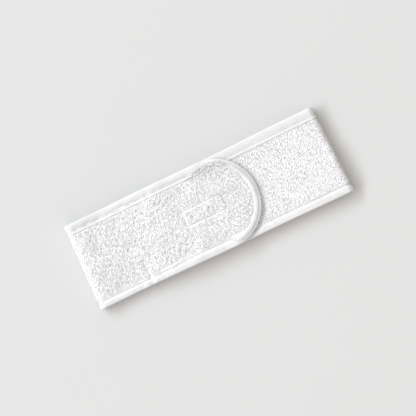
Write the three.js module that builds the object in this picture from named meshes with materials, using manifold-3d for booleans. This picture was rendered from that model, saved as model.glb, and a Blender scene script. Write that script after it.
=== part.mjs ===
// A terry-cloth sports headband with a hook-and-loop closure, closed and lying flat.
// Millimetres. +X runs along the band from the left fold to the right fold, +Y across its width to the upper edge,
// +Z up. The origin is on the floor under the middle of the band.
//
// The band is one long strip. From its middle, which lies on the floor, it turns up round a fold at each end and
// comes back over itself. The end from the right fold lies under the end from the left fold, which is the outer end
// with the round tip and the hook patch.
import * as THREE from "three";
import { mergeVertices } from "three/addons/utils/BufferGeometryUtils.js";
import Module from "manifold-3d";

// The closed band, lying flat
const LENGTH = 275; // over both folds
const WIDTH = 90; // over both bindings
const LAYER = 2.5; // one thickness of terry with its pile, or of terry between the two walls of the binding
const HEAD_GAP = 4.5; // between the back layer and the under end, where the head goes
const OVERLAP_GAP = 0.4; // between the under end and the outer end lying on it

// The two ends
const OUTER_END = 193; // from the left fold's outside to the tip of the outer end
const TIP_CORNER = 45; // corner radius of the outer end
const OVERLAP = 105.5; // how far the under end reaches back under the outer end, from the tip
const UNDER_CORNER = 16; // corner radius of the under end

// Edge binding: a folded tape over the edge of the terry
const BINDING_WIDTH = 10;
const BINDING_WALL = 0.9; // two turns of tape on each face
const BINDING_EDGE = 1.2; // thickness of the tape round the edge itself

// Seam threads
const THREAD = 0.4; // height of a thread
const THREAD_WIDTH = 0.5;
const SEAM_FROM_INNER_EDGE = 1.6; // from the binding's inner edge to the middle of its seam

// Hook and loop patches
const HOOK_TO_TIP = 36; // from the hook patch to the tip of the outer end
const HOOK_LENGTH = 47;
const HOOK_WIDTH = 18;
const BEND_TO_HOOK = 5; // from the hook patch to the lines where the outer end bends on either side of it
const LOOP_START = 12; // from the end of the under end to the near edge of the loop patch
const LOOP_LENGTH = 80;
const LOOP_WIDTH = 42;
const PATCH = 1.0; // thickness of either patch
const PATCH_STITCH_INSET = 1.5; // from a patch's edge to the middle of its stitching

// Clearances
const JOINT_GAP = 0.3; // between lengths of the strip that bend against each other
const CLOTH_FIT = 0.1; // between faces of cloth that are sewn together
const THREAD_FIT = 0.1; // round a thread, in its furrow

// Roundness
const FOLD_STEPS = 12; // facets round a fold
const CORNER_STEPS = 10; // facets round a rounded corner
const REACH = 400; // longer than anything that is cut

// Heights of the layers and centres of the folds
const leftX = -LENGTH / 2;
const rightX = LENGTH / 2;
const half = WIDTH / 2;
const backZ = [0, LAYER];
const underZ = [LAYER + HEAD_GAP, 2 * LAYER + HEAD_GAP];
const outerZ = [underZ[1] + OVERLAP_GAP, underZ[1] + OVERLAP_GAP + LAYER];
const leftFold = { x: leftX + outerZ[1] / 2, z: outerZ[1] / 2, r: outerZ[1] / 2, side: -1 };
const rightFold = { x: rightX - underZ[1] / 2, z: underZ[1] / 2, r: underZ[1] / 2, side: 1 };
const tipX = leftX + OUTER_END;
const underX = tipX - OVERLAP;
const peelX = tipX - HOOK_TO_TIP - HOOK_LENGTH - BEND_TO_HOOK; // where the closure lifts
const curlX = tipX - HOOK_TO_TIP + BEND_TO_HOOK; // where the finger tab curls
const tongue = LAYER - 2 * (BINDING_WALL + CLOTH_FIT); // thickness of the terry inside the binding
const seamInset = BINDING_WIDTH - SEAM_FROM_INNER_EDGE - THREAD_WIDTH / 2;

const TERRY = { color: 0xecebea, roughness: 0.95, metalness: 0 };
const BINDING = { color: 0xf4f3f1, roughness: 0.8, metalness: 0 };
const SEAM_THREAD = { color: 0xf7f6f4, roughness: 0.6, metalness: 0 };
const HOOK_TAPE = { color: 0xe8e8e6, roughness: 0.45, metalness: 0 };
const LOOP_TAPE = { color: 0xefeeec, roughness: 0.9, metalness: 0 };

const wasm = await Module();
wasm.setup();

// A closed three.js geometry as a manifold-3d solid.
function solid(geometry) {
  const bare = geometry.index ? geometry.toNonIndexed() : geometry;
  bare.deleteAttribute("normal");
  bare.deleteAttribute("uv");
  const merged = mergeVertices(bare, 1e-4);
  return new wasm.Manifold(
    new wasm.Mesh({
      numProp: 3,
      vertProperties: merged.attributes.position.array,
      triVerts: new Uint32Array(merged.index.array),
    }),
  );
}

// A manifold-3d solid as a three.js geometry.
function geometryOf(body) {
  const mesh = body.getMesh();
  const positions = new Float32Array(mesh.numVert * 3);
  for (let i = 0; i < mesh.numVert; i++) {
    const at = i * mesh.numProp;
    positions.set(mesh.vertProperties.subarray(at, at + 3), i * 3);
  }
  const geometry = new THREE.BufferGeometry();
  geometry.setAttribute("position", new THREE.BufferAttribute(positions, 3));
  geometry.setIndex(new THREE.BufferAttribute(new Uint32Array(mesh.triVerts), 1));
  geometry.computeVertexNormals();
  return geometry;
}

const group = new THREE.Group();
group.name = "sports_headband";

function add(name, body, look) {
  const mesh = new THREE.Mesh(geometryOf(body), new THREE.MeshStandardMaterial(look));
  mesh.name = name;
  group.add(mesh);
}

// A shape in plan, between two heights.
function plate(shape, [z0, z1]) {
  const options = { depth: z1 - z0, bevelEnabled: false, curveSegments: CORNER_STEPS };
  return solid(new THREE.ExtrudeGeometry(shape, options).translate(0, 0, z0));
}

function block([x0, x1], [y0, y1], [z0, z1]) {
  const box = new THREE.BoxGeometry(x1 - x0, y1 - y0, z1 - z0);
  return solid(box.translate((x0 + x1) / 2, (y0 + y1) / 2, (z0 + z1) / 2));
}

// A rectangle with rounded corners.
function roundedRectangle([x0, x1], [y0, y1], radius) {
  const quarter = Math.PI / 2;
  const shape = new THREE.Shape();
  shape.absarc(x1 - radius, y0 + radius, radius, -quarter, 0);
  shape.absarc(x1 - radius, y1 - radius, radius, 0, quarter);
  shape.absarc(x0 + radius, y1 - radius, radius, quarter, 2 * quarter);
  shape.absarc(x0 + radius, y0 + radius, radius, 2 * quarter, 3 * quarter);
  shape.closePath();
  return shape;
}

// An end of the strip in plan, shrunk by an inset on every edge that it really has. `towards` is 1 for the end that
// runs towards +X and -1 for the other. It runs on past the fold, where it is cut off.
function endOutline(endX, towards, corner, inset) {
  const tip = endX * towards - inset;
  const radius = corner - inset;
  const y = half - inset;
  const quarter = Math.PI / 2;
  const shape = new THREE.Shape();
  shape.moveTo(-REACH, -y);
  shape.lineTo(tip - radius, -y);
  shape.absarc(tip - radius, -y + radius, radius, -quarter, 0);
  shape.absarc(tip - radius, y - radius, radius, 0, quarter);
  shape.lineTo(-REACH, y);
  shape.closePath();
  return shape;
}

// A flat length of the strip: how to make what lies between two heights within an inset of its edges.
function flatLength({ x0, x1, endX = REACH, towards = 1, corner = half, z }) {
  const window = block([x0, x1], [-half - 1, half + 1], [z[0] - 1, z[1] + 1]);
  return {
    within(inset, [low, high]) {
      const outline = endOutline(endX, towards, corner, inset);
      let whole = plate(outline, [z[0] + low, z[0] + high]);
      if (towards < 0) whole = whole.rotate([0, 0, 180]);
      return whole.intersect(window);
    },
  };
}

// A fold of the strip, a half ring about an axis along Y: heights count inwards from its outer face.
function foldLength({ x, z, r, side }) {
  return {
    within(inset, [low, high]) {
      const y = half - inset;
      const shape = new THREE.Shape();
      const quarter = Math.PI / 2;
      shape.absarc(0, 0, r - low, -quarter, quarter, false);
      shape.absarc(0, 0, r - high, quarter, -quarter, true);
      shape.closePath();
      const options = { depth: 2 * y, bevelEnabled: false, curveSegments: FOLD_STEPS };
      const ring = new THREE.ExtrudeGeometry(shape, options).translate(0, 0, -y).rotateX(quarter);
      if (side < 0) ring.rotateZ(Math.PI);
      return solid(ring.translate(x, 0, z)).intersect(
        block(side > 0 ? [x, x + r + 1] : [x - r - 1, x], [-half, half], [z - r - 1, z + r + 1]),
      );
    },
  };
}

// What lies between an outer and an inner inset.
const rim = (length, outer, inner, depth) =>
  length.within(outer, depth).subtract(length.within(inner, [depth[0] - 1, depth[1] + 1]));

// The tape of the binding: a rim over the full thickness less the slot that holds the edge of the terry.
const slot = [BINDING_WALL, LAYER - BINDING_WALL];
const bindingOf = (length, furrow) =>
  rim(length, 0, BINDING_WIDTH, [0, LAYER])
    .subtract(rim(length, BINDING_EDGE, BINDING_WIDTH + 1, slot))
    .subtract(furrow);

// The terry: full thickness inside the binding, and a thin tongue into the binding's slot.
const terryOf = (length) =>
  length
    .within(BINDING_WIDTH + CLOTH_FIT, [0, LAYER])
    .add(length.within(BINDING_EDGE + CLOTH_FIT, [(LAYER - tongue) / 2, (LAYER + tongue) / 2]));

// The seam's thread, sunk flush in the binding's outer face, and the furrow it lies in.
function seamOf(length, outerFaceHigh) {
  const lie = outerFaceHigh ? [LAYER - THREAD, LAYER] : [0, THREAD];
  const cut = outerFaceHigh ? [LAYER - THREAD - THREAD_FIT, LAYER + 1] : [-1, THREAD + THREAD_FIT];
  return {
    thread: rim(length, seamInset, seamInset + THREAD_WIDTH, lie),
    furrow: rim(length, seamInset - THREAD_FIT, seamInset + THREAD_WIDTH + THREAD_FIT, cut),
  };
}

const upperHalf = block([-REACH, REACH], [0, REACH], [-REACH, REACH]);
const lowerHalf = block([-REACH, REACH], [-REACH, 0], [-REACH, REACH]);

// Binding and seam of one length, as two runs or, round an end, as one.
function edge(name, length, outerFaceHigh, joined) {
  const { thread, furrow } = seamOf(length, outerFaceHigh);
  const binding = bindingOf(length, furrow);
  if (joined) {
    add(`${name}_binding`, binding, BINDING);
    add(`${name}_seam`, thread, SEAM_THREAD);
    return;
  }
  for (const [run, side] of [
    ["upper", upperHalf],
    ["lower", lowerHalf],
  ]) {
    add(`${name}_binding_${run}`, binding.intersect(side), BINDING);
    add(`${name}_seam_${run}`, thread.intersect(side), SEAM_THREAD);
  }
}

// A patch let into one face of the terry, with its box stitch in the face where the stitch shows.
function patch({ start, length, width, face, stitchFace, down }) {
  const x = [start, start + length];
  const y = [-width / 2, width / 2];
  const grown = (range, by) => [range[0] - by, range[1] + by];
  const inward = down ? -1 : 1; // from the patch's own face into the terry
  const heights = (from, to) => [face + inward * from, face + inward * to].sort((a, b) => a - b);
  const body = block(x, y, heights(0, PATCH));
  const recess = block(grown(x, CLOTH_FIT), grown(y, CLOTH_FIT), heights(-1, PATCH + CLOTH_FIT));

  const middle = PATCH_STITCH_INSET;
  const ring = (wider, z) => {
    const outline = (by) => [grown(x, -middle + by), grown(y, -middle + by)];
    const [outX, outY] = outline(THREAD_WIDTH / 2 + wider);
    const [inX, inY] = outline(-THREAD_WIDTH / 2 - wider);
    const corner = 1;
    return plate(roundedRectangle(outX, outY, corner + THREAD_WIDTH), z).subtract(
      plate(roundedRectangle(inX, inY, corner), [z[0] - 1, z[1] + 1]),
    );
  };
  const stitchIn = stitchFace > face ? -1 : 1;
  const sunk = (from, to) =>
    [stitchFace + stitchIn * from, stitchFace + stitchIn * to].sort((a, b) => a - b);
  return {
    body,
    recess,
    stitch: ring(0, sunk(0, THREAD)),
    furrow: ring(THREAD_FIT, sunk(-1, THREAD + THREAD_FIT)),
  };
}

// The back layer, on the floor between the folds
const back = flatLength({
  x0: leftFold.x + JOINT_GAP / 2,
  x1: rightFold.x - JOINT_GAP / 2,
  z: backZ,
});
add("back_terry", terryOf(back), TERRY);
edge("back", back, false, false);

// The folds
const leftTurn = foldLength(leftFold);
add("left_fold_terry", terryOf(leftTurn), TERRY);
edge("left_fold", leftTurn, false, false);

const rightTurn = foldLength(rightFold);
add("right_fold_terry", terryOf(rightTurn), TERRY);
edge("right_fold", rightTurn, false, false);

// The outer end, in three lengths
const outer = { endX: tipX, towards: 1, corner: TIP_CORNER, z: outerZ };
const leftFront = flatLength({
  ...outer,
  x0: leftFold.x + JOINT_GAP / 2,
  x1: peelX - JOINT_GAP / 2,
});
const closure = flatLength({ ...outer, x0: peelX + JOINT_GAP / 2, x1: curlX - JOINT_GAP / 2 });
const tip = flatLength({ ...outer, x0: curlX + JOINT_GAP / 2, x1: tipX + 1 });

add("left_front_terry", terryOf(leftFront), TERRY);
edge("left_front", leftFront, true, false);

const hook = patch({
  start: tipX - HOOK_TO_TIP - HOOK_LENGTH,
  length: HOOK_LENGTH,
  width: HOOK_WIDTH,
  face: outerZ[0],
  stitchFace: outerZ[1],
  down: false,
});
add("closure_terry", terryOf(closure).subtract(hook.recess).subtract(hook.furrow), TERRY);
edge("closure", closure, true, false);
add("hook_patch", hook.body, HOOK_TAPE);
add("hook_patch_stitch", hook.stitch, SEAM_THREAD);

add("tip_terry", terryOf(tip), TERRY);
edge("tip", tip, true, true);

// The under end
const rightFront = flatLength({
  x0: underX - 1,
  x1: rightFold.x - JOINT_GAP / 2,
  endX: underX,
  towards: -1,
  corner: UNDER_CORNER,
  z: underZ,
});
const loop = patch({
  start: underX + LOOP_START,
  length: LOOP_LENGTH,
  width: LOOP_WIDTH,
  face: underZ[1],
  stitchFace: underZ[0],
  down: true,
});
add("right_front_terry", terryOf(rightFront).subtract(loop.recess).subtract(loop.furrow), TERRY);
edge("right_front", rightFront, true, true);
add("loop_patch", loop.body, LOOP_TAPE);
add("loop_patch_stitch", loop.stitch, SEAM_THREAD);

export default group;
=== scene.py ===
"""Looks of a terry-cloth sports headband, closed with hook and loop and lying flat.

The band is one long strip, so every soft piece is cut flat in strip space and then laid. Strip space is
(s, v, d): s runs along the strip, v across it, and d is the height above the strip's middle, towards the
outside of the loop. All lengths are metres, unless a comment says otherwise.
"""

import logging
import math
from dataclasses import dataclass, field
from enum import Enum
from typing import Callable, Optional, Sequence

import bmesh
import bpy
import numpy as np
from mathutils import Matrix, Vector


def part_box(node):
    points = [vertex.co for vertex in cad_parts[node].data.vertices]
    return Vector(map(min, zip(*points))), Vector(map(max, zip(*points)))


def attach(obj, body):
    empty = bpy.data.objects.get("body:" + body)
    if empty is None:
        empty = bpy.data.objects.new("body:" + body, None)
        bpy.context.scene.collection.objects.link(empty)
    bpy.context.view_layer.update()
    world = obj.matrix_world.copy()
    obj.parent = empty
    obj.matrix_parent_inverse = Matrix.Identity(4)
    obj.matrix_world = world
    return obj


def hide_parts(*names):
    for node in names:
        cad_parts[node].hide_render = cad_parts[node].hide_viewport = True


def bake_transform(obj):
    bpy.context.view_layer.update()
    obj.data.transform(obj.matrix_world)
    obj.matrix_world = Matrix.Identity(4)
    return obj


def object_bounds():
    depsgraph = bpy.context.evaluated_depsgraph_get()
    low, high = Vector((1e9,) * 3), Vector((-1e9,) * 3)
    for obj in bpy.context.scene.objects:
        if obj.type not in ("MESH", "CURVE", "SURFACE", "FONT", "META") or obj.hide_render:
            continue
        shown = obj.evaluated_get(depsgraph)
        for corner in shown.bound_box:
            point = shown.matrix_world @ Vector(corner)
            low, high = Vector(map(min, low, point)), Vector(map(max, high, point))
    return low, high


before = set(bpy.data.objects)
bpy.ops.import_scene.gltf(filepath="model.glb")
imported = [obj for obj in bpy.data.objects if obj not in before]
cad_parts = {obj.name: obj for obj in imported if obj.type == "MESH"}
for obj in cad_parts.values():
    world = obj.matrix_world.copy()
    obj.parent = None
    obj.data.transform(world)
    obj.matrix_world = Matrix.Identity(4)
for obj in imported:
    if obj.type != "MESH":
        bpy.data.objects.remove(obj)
CAD_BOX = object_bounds()

LOG = logging.getLogger("headband")
MM = 0.001
SEED = 4207

Array = np.ndarray
Material, NodeTree = bpy.types.Material, bpy.types.NodeTree
Socket, ShaderNode = bpy.types.NodeSocket, bpy.types.ShaderNode
Span = tuple[float, float]
Shape = tuple[Array, Array]  # points, and faces as rows of four corner numbers, -1 for a missing one
Pattern = Callable[[Array, Array], Array]  # a value at each (s, v)

# How the real cloth lies beside the frame's even shape.
SAG = 2.8 * MM  # how much lower the outer end lies towards its left lower corner
TIP_SHORT = 1.9 * MM  # how far the tip stops short of the frame's
FULLER = 0.9 * MM  # how much fuller the right fold stands
FULLEST = 1.4 * MM  # and how much more of it below its middle
CREASES = (  # across the outer end's lower edge: place along the band, width and height, in millimetres
    (-86.0, 4.0, 0.3),
    (-80.5, 1.6, -0.85),
    (-76.0, 3.0, 0.3),
    (-91.0, 2.0, -0.35),
    (-73.0, 1.4, -0.3),
)
STITCH_PULL, STITCH_WIDTH = 0.55 * MM, 1.7 * MM  # depth and half width of the box stitch's furrow


class Face(Enum):
    """The two faces of the strip, as the sign of d."""

    OUTER = 1
    INNER = -1


class Edge(Enum):
    """The two long edges of the strip, as the sign of v."""

    UPPER = 1
    LOWER = -1


def smoothstep(low: float, high: float, value: Array) -> Array:
    """A smooth rise from 0 at low to 1 at high.

    Args:
        low: where the rise starts.
        high: where the rise ends.
        value: where to read it.

    Returns:
        The rise at each value.
    """
    t = np.clip((value - low) / (high - low), 0.0, 1.0)
    return t * t * (3 - 2 * t)


def ramp(low: float, high: float, value: Array) -> Array:
    """The smooth rise between two places given in millimetres."""
    return smoothstep(low * MM, high * MM, value)


def hump(centre: float, width: float, value: Array) -> Array:
    """A round bump of height 1.

    Args:
        centre: the middle of the bump.
        width: the distance at which it has fallen to about a third.
        value: where to read it.

    Returns:
        The bump at each value.
    """
    return np.exp(-(((value - centre) / width) ** 2))


def ring_distance(s: Array, v: Array, centre: Span, size: Span) -> Array:
    """Distance to the outline of a rectangle.

    Args:
        s: places along the strip.
        v: places across it.
        centre: the rectangle's middle.
        size: its length and width.

    Returns:
        Distances.
    """
    a, b = np.abs(s - centre[0]) - size[0] / 2, np.abs(v - centre[1]) - size[1] / 2
    inside = np.minimum(np.maximum(a, b), 0)
    return np.abs(inside + np.hypot(np.maximum(a, 0), np.maximum(b, 0)))


@dataclass(frozen=True)
class Waves:
    """Smooth unevenness of hand-laid cloth: a sum of plane waves with seeded directions."""

    seed: int
    shortest: float
    longest: float
    count: int = 7

    def read(self, x: Array, y: Array) -> Array:
        """Reads the waves.

        Args:
            x: places along the band.
            y: places across the band.

        Returns:
            Heights with a root mean square of about 1.
        """
        draw = np.random.default_rng(self.seed)
        total = np.zeros_like(x, dtype=float)
        for _ in range(self.count):
            length = draw.uniform(self.shortest, self.longest)
            turn, phase = draw.uniform(0, math.pi), draw.uniform(0, 2 * math.pi)
            total += np.sin((x * math.cos(turn) + y * math.sin(turn)) * 2 * math.pi / length + phase)
        return total * math.sqrt(2 / self.count)


@dataclass(frozen=True)
class Layout:
    """Where the frame puts each run of the strip, read from its boxes."""

    half_length: float
    half_width: float
    back_mid: float
    under_mid: float
    outer_mid: float
    left_turn: float
    right_turn: float
    peel: float
    curl: float
    tip: float
    under_tip: float
    hook: tuple[Vector, Vector]
    hook_stitch: tuple[Vector, Vector]
    loop: tuple[Vector, Vector]
    loop_stitch: tuple[Vector, Vector]

    @staticmethod
    def from_frame() -> "Layout":
        """Reads the boxes of the frame's nodes.

        Returns:
            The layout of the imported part.
        """
        low, high = (Vector(c) for c in CAD_BOX)

        def middle(node: str) -> float:
            """The middle height of a node's box."""
            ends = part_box(node)
            return (ends[0][2] + ends[1][2]) / 2

        def pair(node: str) -> tuple[Vector, Vector]:
            """A node's corners as vectors."""
            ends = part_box(node)
            return Vector(ends[0]), Vector(ends[1])

        return Layout(
            half_length=(high.x - low.x) / 2,
            half_width=(high.y - low.y) / 2,
            back_mid=middle("back_terry"),
            under_mid=middle("right_front_terry"),
            outer_mid=middle("left_front_terry"),
            left_turn=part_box("left_fold_terry")[1][0],
            right_turn=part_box("right_fold_terry")[0][0],
            peel=(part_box("left_front_terry")[1][0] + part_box("closure_terry")[0][0]) / 2,
            curl=(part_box("closure_terry")[1][0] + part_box("tip_terry")[0][0]) / 2,
            tip=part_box("tip_binding")[1][0],
            under_tip=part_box("right_front_binding")[0][0],
            hook=pair("hook_patch"),
            hook_stitch=pair("hook_patch_stitch"),
            loop=pair("loop_patch"),
            loop_stitch=pair("loop_patch_stitch"),
        )


@dataclass(frozen=True)
class Run:
    """A run of the strip: a flat one, or one that turns up round a fold and comes back."""

    layout: Layout
    level: float
    side: int = 0
    turn: float = 0.0
    end: float = 0.0
    corner: float = 0.0

    @property
    def radius(self) -> float:
        """Radius of the strip's middle round the fold."""
        return (self.level - self.layout.back_mid) / 2

    @property
    def arc(self) -> float:
        """Length of the strip round the fold."""
        return math.pi * self.radius

    def s_of(self, x: float) -> float:
        """Distance along the strip of a place on the flat part.

        Args:
            x: place along the band.

        Returns:
            s in strip space.
        """
        return x if not self.side else self.arc - self.side * (x - self.turn)

    def x_of(self, s: Array) -> Array:
        """Place along the band of a point on the flat part.

        Args:
            s: distances along the strip.

        Returns:
            Places along the band.
        """
        return s if not self.side else self.turn - self.side * (s - self.arc)

    def reach(self, s: Array, v: Array) -> Array:
        """How far inside the strip's edge a point lies.

        Args:
            s: distances along the strip.
            v: distances across it.

        Returns:
            The distance to the nearest edge, negative outside.
        """
        from_side = self.layout.half_width - np.abs(v)
        if not self.corner:
            return from_side
        last = self.s_of(self.end)
        centre_s, centre_v = last - self.corner, self.layout.half_width - self.corner
        along, across = s - centre_s, np.abs(v) - centre_v
        round_part = self.corner - np.hypot(np.maximum(along, 0), np.maximum(across, 0))
        return np.where(
            (along > 0) & (across > 0), round_part, np.minimum(from_side, last - s)
        )

    def place(self, flat: Array) -> Array:
        """Lays points of strip space in the row frame.

        Args:
            flat: points (s, v, d).

        Returns:
            Points (x, y, z).
        """
        s, v, d = flat[:, 0], flat[:, 1], flat[:, 2]
        if not self.side:
            x, y, z = s, v, self.level - d
            z = z + self.rise(x, y, np.ones_like(x))
        else:
            angle = np.clip(s / self.radius, 0, math.pi)
            past = np.maximum(s - self.arc, 0)
            before = np.minimum(s, 0)
            centre = (self.level + self.layout.back_mid) / 2
            x = self.turn + self.side * ((self.radius + d) * np.sin(angle) - past + before)
            z = centre - (self.radius + d) * np.cos(angle)
            y = v
            z = z + self.rise(x, y, smoothstep(0.6 * self.arc, 2.2 * self.arc, s))
            if self.side < 0:
                lower = SAG * ramp(-2, -42, y) * ramp(-42, -118, x)
                z = z - lower * smoothstep(0, math.pi, angle)
                x = x - TIP_SHORT * ramp(-20, 50, x)
            else:
                below = ramp(-48, -26, y)
                fuller = FULLER + FULLEST * ramp(14, -10, y) * below
                z = z + fuller * smoothstep(0, math.pi, angle) * ramp(62, 128, x)
        return warp(self.layout, np.column_stack([x, y, on_floor(z)]))

    def rise(self, x: Array, y: Array, share: Array) -> Array:
        """How far the laid cloth stands above its level.

        Args:
            x: places along the band.
            y: places across the band.
            share: 0 round the fold, 1 on the flat part.

        Returns:
            Heights.
        """
        if not self.side:
            return 0.05 * MM * Waves(SEED, 30 * MM, 90 * MM).read(x, y)
        if self.side > 0:
            wave = 0.16 * MM * Waves(SEED + 1, 22 * MM, 70 * MM).read(x, y)
            return share * (wave - 0.15 * MM)
        wave = 0.22 * MM * Waves(SEED + 2, 18 * MM, 75 * MM).read(x, y)
        # The outer end sinks towards the back layer and climbs on to the under end.
        sunk = -1.5 * MM * hump(-95 * MM, 26 * MM, x)
        low = ramp(2, -32, y)
        crease = low * sum(tall * MM * hump(at * MM, wide * MM, x) for at, wide, tall in CREASES)
        dent = -0.9 * MM * hump(-113 * MM, 9 * MM, x) * hump(16 * MM, 12 * MM, y)
        over = 0.35 * MM * ramp(-60, -30, x)
        hang = np.clip((-24 * MM - y) / (23 * MM), 0, 1) ** 1.6
        droop = -1.1 * MM * hang * ramp(30, 5, x)
        return share * (wave + sunk + crease + dent + over + droop) - self.sewn(x, y)

    def sewn(self, x: Array, y: Array) -> Array:
        """How far the hook patch's box stitch pulls the cloth down, most at its left and upper sides.

        Args:
            x: places along the band.
            y: places across the band.

        Returns:
            Depths.
        """
        low, high = self.layout.hook_stitch
        centre, size = (low + high) / 2, high - low
        firm = 1 - 0.6 * smoothstep(centre.x - 6 * MM, centre.x + 16 * MM, x - 0.9 * (y - centre.y))
        near = hump(0, STITCH_WIDTH, ring_distance(x, y, (centre.x, centre.y), (size.x, size.y)))
        return STITCH_PULL * firm * near


def on_floor(z: Array, soft: float = 0.6 * MM) -> Array:
    """Presses what hangs near the floor flat on to it.

    Args:
        z: heights over the floor.
        soft: below this height the cloth gives way.

    Returns:
        Heights, all above 0.
    """
    return np.where(z < soft, soft * np.exp(np.minimum(z - soft, 0) / soft), z)


def warp(layout: Layout, points: Array) -> Array:
    """Gives the band its slightly uneven outline: a longer lower edge, a wider right end and soft edges.

    Args:
        layout: where the runs lie.
        points: points (x, y, z).

    Returns:
        The moved points.
    """
    x, y, z = points.T
    end_shift, widening, fullness = 1.25 * MM, 0.017, 1.018
    new_x = x - end_shift * (x / layout.half_length) * (y / layout.half_width)
    new_x = new_x - 1.1 * MM * ramp(-60, -130, x)
    new_y = y * fullness * (1 + widening * x / layout.half_length) - 0.12 * MM
    new_y = new_y - 0.45 * MM * ramp(-20, -42, y)
    wobble = Waves(SEED + 9, 60 * MM, 160 * MM, 4).read(x, y * 0.3)
    new_y = new_y + 0.3 * MM * wobble * (np.abs(y) / layout.half_width) ** 2
    return np.column_stack([new_x, new_y, z])


# ---------------------------------------------------------------- finishes

WAVE_SCALE = math.pi / 10  # a wave texture of this scale has a period of 1

@dataclass(frozen=True)
class Finish:
    """A cloth finish made of shader nodes.

    The weave follows the piece's own map "strip", which holds (s, v) in metres.
    """

    name: str
    colour: tuple[float, float, float]
    roughness: float
    sheen: float

    def start(self) -> tuple[Material, NodeTree, ShaderNode]:
        """Starts the material.

        Returns:
            The material, its node tree and its principled shader.
        """
        material = bpy.data.materials.new(self.name)
        material.use_nodes = True
        tree = material.node_tree
        shader = tree.nodes["Principled BSDF"]
        shader.inputs["Base Color"].default_value = (*self.colour, 1)
        shader.inputs["Roughness"].default_value = self.roughness
        shader.inputs["Sheen Weight"].default_value = self.sheen
        shader.inputs["Sheen Roughness"].default_value = 0.5
        shader.inputs["Specular IOR Level"].default_value = 0.25
        return material, tree, shader

    @staticmethod
    def pattern(
        tree: NodeTree, kind: str, vector: Socket, scale: float, detail: float
    ) -> ShaderNode:
        """Adds a texture.

        Args:
            tree: the material's nodes.
            kind: the texture's node type.
            vector: coordinates in metres.
            scale: its size in its own measure.
            detail: octaves of detail.

        Returns:
            The texture node.
        """
        node = tree.nodes.new(kind)
        node.inputs["Scale"].default_value = scale
        node.inputs["Detail"].default_value = detail
        tree.links.new(vector, node.inputs["Vector"])
        return node

    def tint(self, shade: float) -> tuple[float, float, float, float]:
        """The finish's colour, made darker or lighter.

        Args:
            shade: 1 for the colour itself.

        Returns:
            A colour with alpha.
        """
        return (*(min(1.0, c * shade) for c in self.colour), 1.0)

    def mottle(
        self,
        tree: NodeTree,
        shader: ShaderNode,
        vector: Socket,
        scale: float,
        shades: tuple[float, float],
        rough: tuple[float, float],
    ) -> None:
        """Varies colour and roughness with a noise.

        Args:
            tree: the material's nodes.
            shader: its principled shader.
            vector: coordinates in metres.
            scale: lumps per metre.
            shades: darkest and lightest share of the colour.
            rough: lowest and highest roughness.
        """
        noise = self.pattern(tree, "ShaderNodeTexNoise", vector, scale, 4)
        ramp = tree.nodes.new("ShaderNodeValToRGB")
        ramp.color_ramp.elements[0].position, ramp.color_ramp.elements[1].position = 0.3, 0.7
        ramp.color_ramp.elements[0].color = self.tint(shades[0])
        ramp.color_ramp.elements[1].color = self.tint(shades[1])
        tree.links.new(noise.outputs["Fac"], ramp.inputs["Fac"])
        tree.links.new(ramp.outputs["Color"], shader.inputs["Base Color"])
        spread = tree.nodes.new("ShaderNodeMapRange")
        spread.inputs["To Min"].default_value, spread.inputs["To Max"].default_value = rough
        tree.links.new(noise.outputs["Fac"], spread.inputs["Value"])
        tree.links.new(spread.outputs["Result"], shader.inputs["Roughness"])

    @staticmethod
    def bump(
        tree: NodeTree,
        shader: ShaderNode,
        height: Socket,
        depth: float,
        strength: float,
    ) -> None:
        """Adds a bump.

        Args:
            tree: the material's nodes.
            shader: its principled shader.
            height: the height pattern, 0 to 1.
            depth: how deep a height of 1 is, in metres.
            strength: share of the bump.
        """
        node = tree.nodes.new("ShaderNodeBump")
        node.inputs["Strength"].default_value = strength
        node.inputs["Distance"].default_value = depth
        tree.links.new(height, node.inputs["Height"])
        tree.links.new(node.outputs["Normal"], shader.inputs["Normal"])


@dataclass(frozen=True)
class YarnFinish(Finish):
    """Soft spun cotton yarn: the terry's pile and its ground."""

    fuzz: float = 2600.0
    lumps: float = 60.0
    shades: Span = (0.965, 1.03)
    depth: float = 0.25 * MM
    glow: float = 0.4
    glow_depth: float = 0.8 * MM

    def make(self) -> Material:
        """Builds the material from the piece's own coordinates."""
        material, tree, shader = self.start()
        place = tree.nodes.new("ShaderNodeTexCoord").outputs["Object"]
        self.mottle(tree, shader, place, self.lumps, self.shades, (0.86, 1.0))
        fibres = self.pattern(tree, "ShaderNodeTexNoise", place, self.fuzz, 3)
        self.bump(tree, shader, fibres.outputs["Fac"], self.depth, 0.6)
        shader.inputs["Subsurface Weight"].default_value = self.glow
        shader.inputs["Subsurface Scale"].default_value = self.glow_depth
        shader.inputs["Subsurface Radius"].default_value = (1, 1, 1)
        return material


@dataclass(frozen=True)
class TapeFinish(Finish):
    """Woven tape: fine ribs across the run and finer wefts along it, read from the strip map."""

    rib: float = 0.55 * MM
    weft: float = 0.4 * MM
    lumps: float = 90.0
    shades: Span = (0.97, 1.02)
    depth: float = 0.12 * MM

    def make(self) -> Material:
        """Builds the material from the map "strip"."""
        material, tree, shader = self.start()
        strip = tree.nodes.new("ShaderNodeUVMap")
        strip.uv_map = "strip"
        place = tree.nodes.new("ShaderNodeTexCoord").outputs["Object"]
        rough = self.roughness - 0.08, self.roughness + 0.1
        self.mottle(tree, shader, place, self.lumps, self.shades, rough)
        waves = []
        for direction, period in (("X", self.rib), ("Y", self.weft)):
            wave = self.pattern(tree, "ShaderNodeTexWave", strip.outputs["UV"], WAVE_SCALE / period, 1)
            wave.bands_direction = direction
            wave.inputs["Distortion"].default_value = 0.6
            waves.append(wave)
        both = tree.nodes.new("ShaderNodeMath")
        both.operation = "MULTIPLY"
        tree.links.new(waves[0].outputs["Fac"], both.inputs[0])
        tree.links.new(waves[1].outputs["Fac"], both.inputs[1])
        self.bump(tree, shader, both.outputs["Value"], self.depth, 0.55)
        return material


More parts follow.
